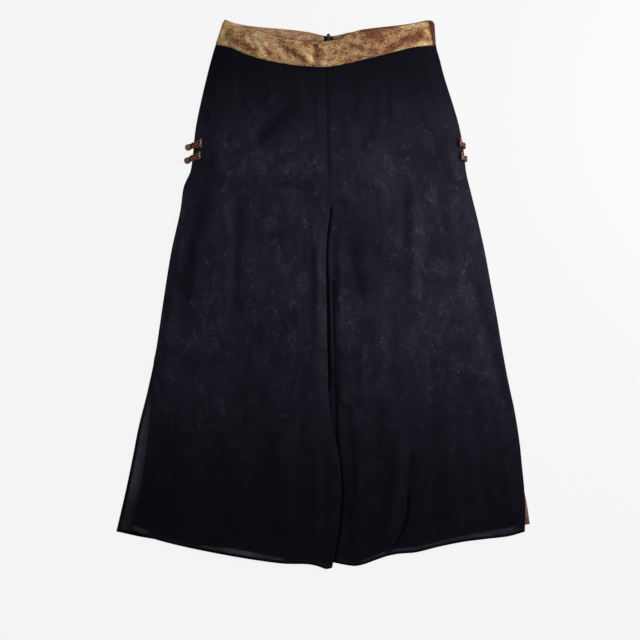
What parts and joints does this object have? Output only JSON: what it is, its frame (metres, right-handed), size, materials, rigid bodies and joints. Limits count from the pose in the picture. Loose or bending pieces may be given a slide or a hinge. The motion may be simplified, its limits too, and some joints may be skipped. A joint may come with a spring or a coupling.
{
  "type": "culottes",
  "caption": "Culottes laid flat, front up: wide sheer legs slit at the sides, shaped metallic waistband, back zip with hinged pull tab, frog fasteners at the hips.",
  "frame": {"origin": "on the surface the garment lies on, under the middle of its bounding box", "axes": "+Y from hem to waist, +X to the right seen from above with the front up, +Z off the surface"},
  "size_m": [0.7, 0.9295, 0.0167],
  "materials": {
    "shell": "sheer crepe with fine metallic thread, satin sheen",
    "lame": "gold and copper metallic weave, soft shine",
    "copper": "copper metallic weave, soft shine",
    "zip_tape": "matte woven tape",
    "zip_metal": "satin dark grey enamel"
  },
  "bodies": {
    "garment": {"front_leg_left": "shell", "front_leg_right": "shell", "back_leg_left": "shell", "back_leg_right": "shell", "waistband_front": "lame", "waistband_back_left": "lame", "waistband_back_right": "lame", "zip_tape_left": "zip_tape", "zip_tape_right": "zip_tape", "zip_slider": "zip_metal", "frog_loop_left_upper": "copper", "frog_loop_left_lower": "copper", "frog_loop_right_upper": "copper", "frog_loop_right_lower": "copper", "frog_knot_left_upper": "copper", "frog_knot_left_lower": "copper", "frog_knot_right_upper": "copper", "frog_knot_right_lower": "copper", "slit_facing_right": "copper"},
    "pull_tab": {"zip_pull_tab": "zip_metal"}
  },
  "joints": [
    {"name": "pull_tab_hinge", "type": "hinge", "parent": "garment", "child": "pull_tab", "pos_m": [0.0091, 0.438, 0.0021], "axis": [1, 0, 0], "range_deg": [0, 180]}
  ]
}
